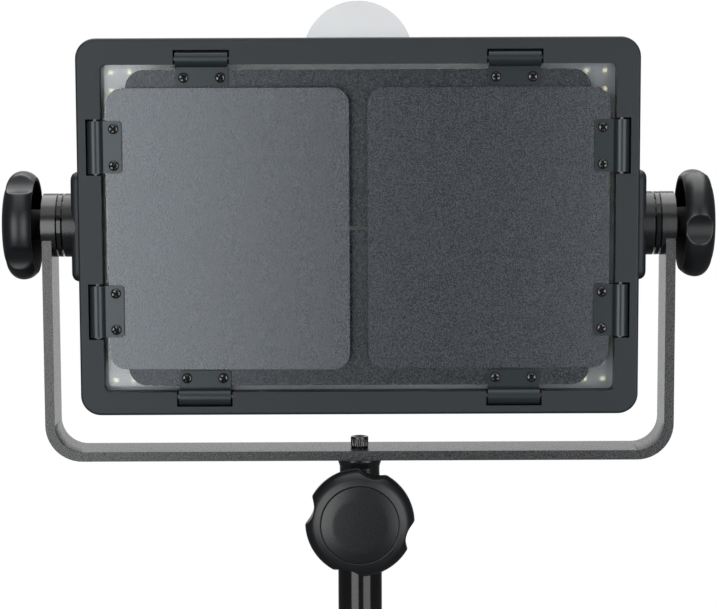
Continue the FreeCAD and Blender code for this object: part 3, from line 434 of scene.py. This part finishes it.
def clamp_knob(side, materials):
    """A scalloped knob whose hollow back is in a darker, duller black that paints the shade inside it, and
    the cap that closes its face.
    """
    body = f"{side}_clamp_knob"
    matrix = knob_matrix(side)
    hollow = rounded_profile(KNOB_HOLLOW)
    profile = hollow + rim_profile()
    profile += rounded_profile((profile[-1][:] + (0,), *CAP_SEAM))[1:]

    def scalloped(radius, height, turn):
        return radius if radius < RIM_STARTS else softly_least(radius, scallop_limit(turn), SCALLOP_BLEND)

    rings = revolved(profile, KNOB_POINTS, scalloped)
    grip = piece(
        f"{side}_clamp_grip", placed(rings, matrix), lathe(rings, KNOB_POINTS), body,
        materials["knob_plastic"], "knob_plastic", (f"{side}_knob",), sharp=SHARP_ON_KNOBS,
    )
    # The hollow back's faces take the darker, duller black: painted shade.
    grip.data.materials.append(materials["knob_hollow"])
    for face in grip.data.polygons[: (len(hollow) - 1) * KNOB_POINTS]:
        face.material_index = 1
    rings = revolved(rounded_profile(CAP_OUTLINE, 8), CAP_POINTS)
    piece(
        f"{side}_clamp_face", placed(rings, matrix), lathe(rings, CAP_POINTS), body,
        materials["knob_cap_plastic" if side == "stand" else "knob_plastic"], SLOTS[f"{side}_knob_cap"],
        (f"{side}_knob_cap",), sharp=SHARP_ON_KNOBS,
    )


# ---- the socket's cap screw ----

# Millimetres.
CAP_SCREW_HEAD, CAP_SCREW_SHANK, CAP_SCREW_KEY, KEY_DEPTH = 6.0, 3.0, 2.5, 3.4
KNURL_TEETH, KNURL_DEPTH, POINTS_PER_TOOTH = 22, 0.5, 10


def knurled_screw(materials):
    """The socket bolt with its knurled head, hexagon recess and plain shank."""
    low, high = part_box("socket_bolt")
    centre = Matrix.Translation(((low[0] + high[0]) / 2, (low[1] + high[1]) / 2, high[2]))
    wide, deep = (high[0] - low[0]) / 2 / MM, (high[2] - low[2]) / MM
    tall, key, shank = CAP_SCREW_HEAD, CAP_SCREW_KEY, CAP_SCREW_SHANK

    def knurl(radius, height, turn):
        if radius < shank + 0.2:
            return radius
        grip = 1 if -tall + 0.9 < height < -1.0 else 0
        return radius - grip * KNURL_DEPTH * (0.5 + 0.5 * math.cos(KNURL_TEETH * turn)) ** 2

    def hexagon(radius, height, turn):
        if radius < 0.5:
            return radius
        return radius / math.cos((turn + math.pi / 6) % (math.pi / 3) - math.pi / 6)

    count = KNURL_TEETH * POINTS_PER_TOOTH
    outer = (
        (0, -deep, 0), (shank - 0.6, -deep, 0), (shank, -deep + 0.8, 0), (shank, -tall, 0),
        (wide - 0.2, -tall, 0.2), (wide, -tall + 0.7, 0), (wide, -tall + 1.0, 0), (wide, -1.1, 0),
        (wide, -0.9, 0), (wide, 0, 0.7), (key + 0.9, 0, 0),
    )
    rings = revolved(rounded_profile(outer, 4), count, knurl)
    recess = [(key + 0.3, 0.0), (key, -0.4), (key, -KEY_DEPTH), (0, -KEY_DEPTH - 0.8)]
    rings += revolved(recess, count, hexagon)
    piece(
        "cap_screw", placed(rings, centre), lathe(rings, count), "yoke",
        materials["black_screw"], "black_screw", ("socket_bolt",), sharp=SHARP_ON_SCREWS,
    )


# ---- door screws ----

# Millimetres, but for the angles and the share.
HEAD_RADII = (0.2, 0.4, 0.55, 0.8, 1.05, 1.3, 1.45, 1.6, 1.9, 2.2, 2.5, 2.68, 2.78, 2.8)
HEAD_TALL, HEAD_SHOULDER, HEAD_ROUND, HEAD_SIDE, DOME_ROUND = 1.8, 2.0, 0.8, 0.9, 8
SHANK_RADIUS, SHANK_CHAMFER = 1.5, 0.3
CROSS_HALF_WIDTH, CROSS_REACH, CROSS_EASE, CROSS_DEPTH, CROSS_POINT = 0.5, 1.65, 0.14, 1.2, 1.3
CROSS_FIRST, CROSS_STEP = 24, 37
RECESS_SHARE = 0.6
SCREW_POINTS = 56
SCREWS_APART = 2
AJAR = {"left": -2}


def solids_along(node, axis):
    """Middles of a node's solids, which stand apart along one axis."""
    item = NODES[node]
    corners = [item.matrix_world @ vertex.co for vertex in item.data.vertices]
    points = sorted(corners, key=lambda point: point[axis])
    groups = [[points[0]]]
    for before, point in zip(points, points[1:]):
        if point[axis] - before[axis] > SCREWS_APART * MM:
            groups.append([])
        groups[-1].append(point)
    middles = []
    for group in groups:
        spans = [(min(point[i] for point in group), max(point[i] for point in group)) for i in range(3)]
        middles.append(Vector([(low + high) / 2 for low, high in spans]))
    return middles


def head_height(radius):
    """A pan head: a low dome, then a round edge."""
    dome = -radius * radius / (2 * DOME_ROUND)
    if radius < HEAD_SHOULDER:
        return dome
    return dome - HEAD_SIDE * (1 - math.sqrt(max(0, 1 - ((radius - HEAD_SHOULDER) / HEAD_ROUND) ** 2)))


def in_cross(x, y, slant):
    """How far a point of the head lies within the cross recess, from 0 to 1."""
    across = abs(x * math.cos(slant) + y * math.sin(slant))
    up = abs(y * math.cos(slant) - x * math.sin(slant))
    near, far = sorted((across, up))
    within = min(1, max(0, (CROSS_HALF_WIDTH - near) / CROSS_EASE))
    return within * min(1, max(0, (CROSS_REACH - far) / CROSS_EASE))


def pan_screw(long, slant):
    """Rings of one screw from its recess to its tip, and how deep in the recess each point is."""
    rings, sunk = [[(0, 0, -CROSS_POINT)]], [1]
    for radius in HEAD_RADII:
        level = []
        for x, y, height in ring(lambda turn, r=radius: r, head_height(radius), SCREW_POINTS):
            recess = in_cross(x, y, slant)
            level.append((x, y, height - recess * (CROSS_DEPTH + height)))
            sunk.append(recess)
        rings.append(level)
    shank = (
        (HEAD_RADII[-1], -HEAD_TALL), (SHANK_RADIUS, -HEAD_TALL), (SHANK_RADIUS, -long + SHANK_CHAMFER),
        (SHANK_RADIUS - SHANK_CHAMFER, -long), (0, -long),
    )
    plain = revolved(shank, SCREW_POINTS)
    return rings + plain, sunk + [0] * sum(len(level) for level in plain)


def door_screws(door, materials):
    """Pan-head screws with cross recesses, on the hinge plates of one door."""
    node = f"{door}_door_screws"
    low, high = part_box("top_door_screws")
    long = (high[1] - low[1]) / MM
    lean = Matrix.Rotation(math.radians(AJAR.get(door, 0)), 4, "Z") @ Matrix.Rotation(math.pi / 2, 4, "X")
    points, faces, sunk = [], [], []
    for index, middle in enumerate(solids_along(node, 2 if door in ("left", "right") else 0)):
        matrix = Matrix.Translation(middle) @ lean @ Matrix.Translation((0, 0, long * MM / 2))
        rings, depths = pan_screw(long, math.radians(CROSS_FIRST + CROSS_STEP * index))
        join(points, faces, placed(rings, matrix), [face[::-1] for face in lathe(rings, SCREW_POINTS)])
        sunk += depths
    screws = piece(
        f"{door}_pan_screws", points, faces, f"{door}_door",
        materials["black_screw"], "black_screw", (node,), sharp=SHARP_ON_SCREWS,
    )
    # Faces deep in the cross recess take the darker, duller black: painted shade in the recess.
    screws.data.materials.append(materials["knob_hollow"])
    for face in screws.data.polygons:
        depth = sum(sunk[corner] for corner in face.vertices)
        face.material_index = int(depth > RECESS_SHARE * len(face.vertices))


# ---- light source ----

# Millimetres: (half width, height) of each level of a package and of the round lens in it.
LED_COLUMNS, LED_ROWS, LED_PITCH = 28, 18, 10.05
LED_PACKAGE = ((1.75, 0), (1.75, 0.45), (1.55, 0.65), (1.3, 0.65), (1.2, 0.5))
LED_LENS, LENS_TOP, LENS_SIDES = ((1.25, 0.48), (1.05, 0.66), (0.6, 0.78)), 0.82, 10
SQUARE = ((-1, -1), (1, -1), (1, 1), (-1, 1))


def led_grid(materials):
    """Rows of small packages on the board, each with a round phosphor window."""
    low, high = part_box("led_board")
    middle = (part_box("bottom_door_leaf")[0][2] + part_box("top_door_leaf")[1][2]) / 2
    front = low[1] / MM
    turns = [2 * math.pi / LENS_SIDES * step for step in range(LENS_SIDES)]
    unmoved = Matrix.Identity(4)
    packages, lenses = ([], []), ([], [])
    for column in range(LED_COLUMNS):
        x = (column - (LED_COLUMNS - 1) / 2) * LED_PITCH
        for row in range(LED_ROWS):
            z = middle / MM + (row - (LED_ROWS - 1) / 2) * LED_PITCH
            rings = [
                [(x + across * wide, front - proud, z + up * wide) for across, up in SQUARE]
                for wide, proud in LED_PACKAGE
            ]
            join(*packages, placed(rings, unmoved), lathe(rings, len(SQUARE)))
            rings = [
                [(x + wide * math.cos(turn), front - proud, z + wide * math.sin(turn)) for turn in turns]
                for wide, proud in LED_LENS
            ]
            rings.append([(x, front - LENS_TOP, z)])
            join(*lenses, placed(rings, unmoved), lathe(rings, LENS_SIDES))
    piece("led_packages", *packages, "lamp", materials["led_white"], "circuit_board")
    piece("led_lenses", *lenses, "lamp", materials["led_phosphor_painted_glow"], "circuit_board")


# ---- back fittings ----

# Millimetres.
DIAL_TALL, DIAL_FLUTES, DIAL_POINTS, FLUTE_DEPTH = 12.0, 30, 240, 0.45
POINTER_HALF_WIDTH, POINTER_START, POINTER_SHORT, POINTER_DEEP = 0.6, 2.4, 0.9, 0.9
CONTACT_PLACES, CONTACT_PITCH, CONTACT_HALF_WIDTH, CONTACT_THICK = (-1.5, -0.5, 0.5, 1.5), 6, 1.1, 0.35
CONTACT_RISE, CONTACT_INSET = 34, 6
CONTACT_LINE = ((0, -0.1), (1, 0.1), (4, 1.3), (7, 1.6), (9, 1.2), (10, 0.2))


def fluted_dial(node, body, materials):
    """A dial with grip flutes, a dished top and a white pointer."""
    low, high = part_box(node)
    centre = Vector(((low[0] + high[0]) / 2, high[1], (low[2] + high[2]) / 2))
    matrix = Matrix.Translation(centre) @ Matrix(((-1, 0, 0), UP, -OUT)).transposed().to_4x4()
    wide, tall, deep = (high[0] - low[0]) / 2 / MM, DIAL_TALL, (high[1] - low[1]) / MM

    def fluted(radius, height, turn):
        gripped = radius > wide - 1 and -tall + 1.5 < height < -1
        return radius - (FLUTE_DEPTH * max(0, math.cos(DIAL_FLUTES * turn)) ** 2 if gripped else 0)

    outline = (
        (0, -deep, 0), (3, -deep, 0.4), (3, -tall, 0), (wide - 0.4, -tall, 0.3), (wide, -tall + 1.2, 0),
        (wide, -tall + 1.8, 0), (wide - 0.3, -1.3, 0), (wide - 0.3, -0.8, 0), (wide - 0.5, 0, 0.6),
        (wide - 2.2, 0, 0.5), (wide - 2.8, -0.5, 0.4), (0, -0.7, 0),
    )
    rings = revolved(rounded_profile(outline, 4), DIAL_POINTS, fluted)
    slot = SLOTS[node]
    piece(
        f"{node}_grip", placed(rings, matrix), lathe(rings, DIAL_POINTS), body,
        materials["knob_plastic"], slot, (node,),
    )
    side, start, end = POINTER_HALF_WIDTH, POINTER_START, wide - POINTER_SHORT
    outline = ((-side, start), (side, start), (side, end), (-side, end))
    rings = [[(x, y, z) for x, y in outline] for z in (-POINTER_DEEP, 0.0)]
    bar = [(0, 1, 2, 3), (7, 6, 5, 4)] + lathe(rings, 4)
    piece(f"{node}_mark", placed(rings, matrix), bar, body, materials["mark_white"], slot)


def battery_contacts(side, materials):
    """Four sprung blades near the foot of a battery plate."""
    low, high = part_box(f"{side}_battery_plate")
    across = (low[0] + high[0]) / 2 / MM
    foot, face = low[2] / MM + CONTACT_RISE, high[1] / MM - CONTACT_INSET
    points, faces = [], []
    for place in CONTACT_PLACES:
        x = across + place * CONTACT_PITCH
        start = len(points)
        for rise, proud in CONTACT_LINE:
            for edge in (-CONTACT_HALF_WIDTH, CONTACT_HALF_WIDTH):
                points += [
                    (x + edge, face + proud - CONTACT_THICK, foot + rise),
                    (x + edge, face + proud, foot + rise),
                ]
        for level in range(len(CONTACT_LINE) - 1):
            at = start + level * 4
            faces += [
                (at + 1, at + 3, at + 7, at + 5), (at, at + 4, at + 6, at + 2),
                (at, at + 1, at + 5, at + 4), (at + 2, at + 6, at + 7, at + 3),
            ]
        end = start + (len(CONTACT_LINE) - 1) * 4
        faces += [(start, start + 2, start + 3, start + 1), (end, end + 1, end + 3, end + 2)]
    points = placed([points], Matrix.Identity(4))
    piece(f"{side}_battery_contacts", points, faces, "lamp", materials["contact_gold"], "pin_steel")


# ---- studio ----

CAMERA_PLACE = (0.0, -1.260, 0.3208)
CAMERA_DOWN = math.radians(6.5)
CAMERA_ROLL = math.radians(-0.23)
CAMERA_LENS = 113.2
CAMERA_REACH = 50
LIT_CENTRE = Vector((0, 0, 0.2))
# Name, degrees to the right of the front, degrees above level, metres away, width and height in
# degrees, and radiance.
SOFTBOXES = (
    ("left_box", -27, -1, 1.6, 36, 44, 3.6),
    ("right_box", 35.5, -1, 1.6, 37, 44, 3.0),
    ("front_top_box", 0, 58, 1.6, 60, 34, 1.0),
    ("top_box", 0, 110, 1.5, 70, 65, 3.0),
)
ROOM_RADIUS, FLOOR_SIZE, FLOOR_PLACE, ROOM_GLOW = 9, 6, (0, 0, -0.45), 1.0
SWEEP_SIZE, SWEEP_PLACE, SWEEP_GLOW = 1.6, (0, 1.7, 0.25), 0.84
WORLD_GLOW = 0.1


def make_camera():
    data = bpy.data.cameras.new("camera")
    data.lens = CAMERA_LENS
    data.clip_end = CAMERA_REACH
    camera = bpy.data.objects.new("camera", data)
    bpy.context.collection.objects.link(camera)
    turn = Matrix.Rotation(math.pi / 2 - CAMERA_DOWN, 4, "X") @ Matrix.Rotation(CAMERA_ROLL, 4, "Z")
    camera.matrix_world = Matrix.Translation(CAMERA_PLACE) @ turn
    bpy.context.scene.camera = camera


def softbox(name, around, above, distance, width, height, radiance):
    """A soft panel of light that faces the middle of the object."""
    direction = Matrix.Rotation(math.radians(around), 3, "Z") @ (
        Matrix.Rotation(math.radians(-above), 3, "X") @ OUT
    )
    data = bpy.data.lights.new(name, "AREA")
    data.shape = "RECTANGLE"
    data.size, data.size_y = (2 * distance * math.tan(math.radians(angle / 2)) for angle in (width, height))
    data.energy = radiance * math.pi * data.size * data.size_y
    light = bpy.data.objects.new(name, data)
    light.location = LIT_CENTRE + direction * distance
    light.rotation_euler = (-direction).to_track_quat("-Z", "Y").to_euler()
    light.visible_camera = False
    bpy.context.collection.objects.link(light)


def glow(name, strength):
    """An evenly shining white."""
    material = bpy.data.materials.new(name)
    material.use_nodes = True
    nodes = material.node_tree.nodes
    nodes.remove(nodes["Principled BSDF"])
    emission = nodes.new("ShaderNodeEmission")
    emission.inputs["Strength"].default_value = strength
    material.node_tree.links.new(emission.outputs["Emission"], nodes["Material Output"].inputs["Surface"])
    return material


def make_stage():
    """A white room and floor for the camera alone, and behind the object a sweep that it never sees."""
    bpy.ops.mesh.primitive_uv_sphere_add(radius=ROOM_RADIUS, segments=48, ring_count=24)
    room = bpy.context.object
    room.name = "studio_room"
    bpy.ops.mesh.primitive_plane_add(size=FLOOR_SIZE, location=FLOOR_PLACE)
    floor = bpy.context.object
    floor.name = "studio_floor"
    bpy.ops.mesh.primitive_plane_add(size=SWEEP_SIZE, location=SWEEP_PLACE, rotation=(math.pi / 2, 0, 0))
    sweep = bpy.context.object
    sweep.name = "studio_sweep"
    for item, strength in ((room, ROOM_GLOW), (floor, ROOM_GLOW), (sweep, SWEEP_GLOW)):
        item.data.materials.append(glow(item.name, strength))
    for item in (room, floor):
        item.visible_diffuse = False
        item.visible_glossy = False
        item.visible_transmission = False
        item.visible_shadow = False
    sweep.visible_camera = False
    sweep.visible_shadow = False
    world = bpy.data.worlds.new("studio")
    world.use_nodes = True
    world.node_tree.nodes["Background"].inputs["Color"].default_value = (1, 1, 1, 1)
    world.node_tree.nodes["Background"].inputs["Strength"].default_value = WORLD_GLOW
    bpy.context.scene.world = world
    bpy.context.scene.view_settings.view_transform = "Standard"
    for box in SOFTBOXES:
        softbox(*box)


materials = build_materials()
dress_nodes(materials)
for knob in KNOBS:
    clamp_knob(knob, materials)
knurled_screw(materials)
for door in DOORS:
    door_screws(door, materials)
led_grid(materials)
fluted_dial("brightness_dial", "brightness_control", materials)
fluted_dial("colour_dial", "colour_control", materials)
for plate_side in ("left", "right"):
    battery_contacts(plate_side, materials)
soften("yoke_bar", YOKE_EDGE)
for door in DOORS:
    soften(f"{door}_door_leaf", LEAF_EDGE)
make_camera()
make_stage()
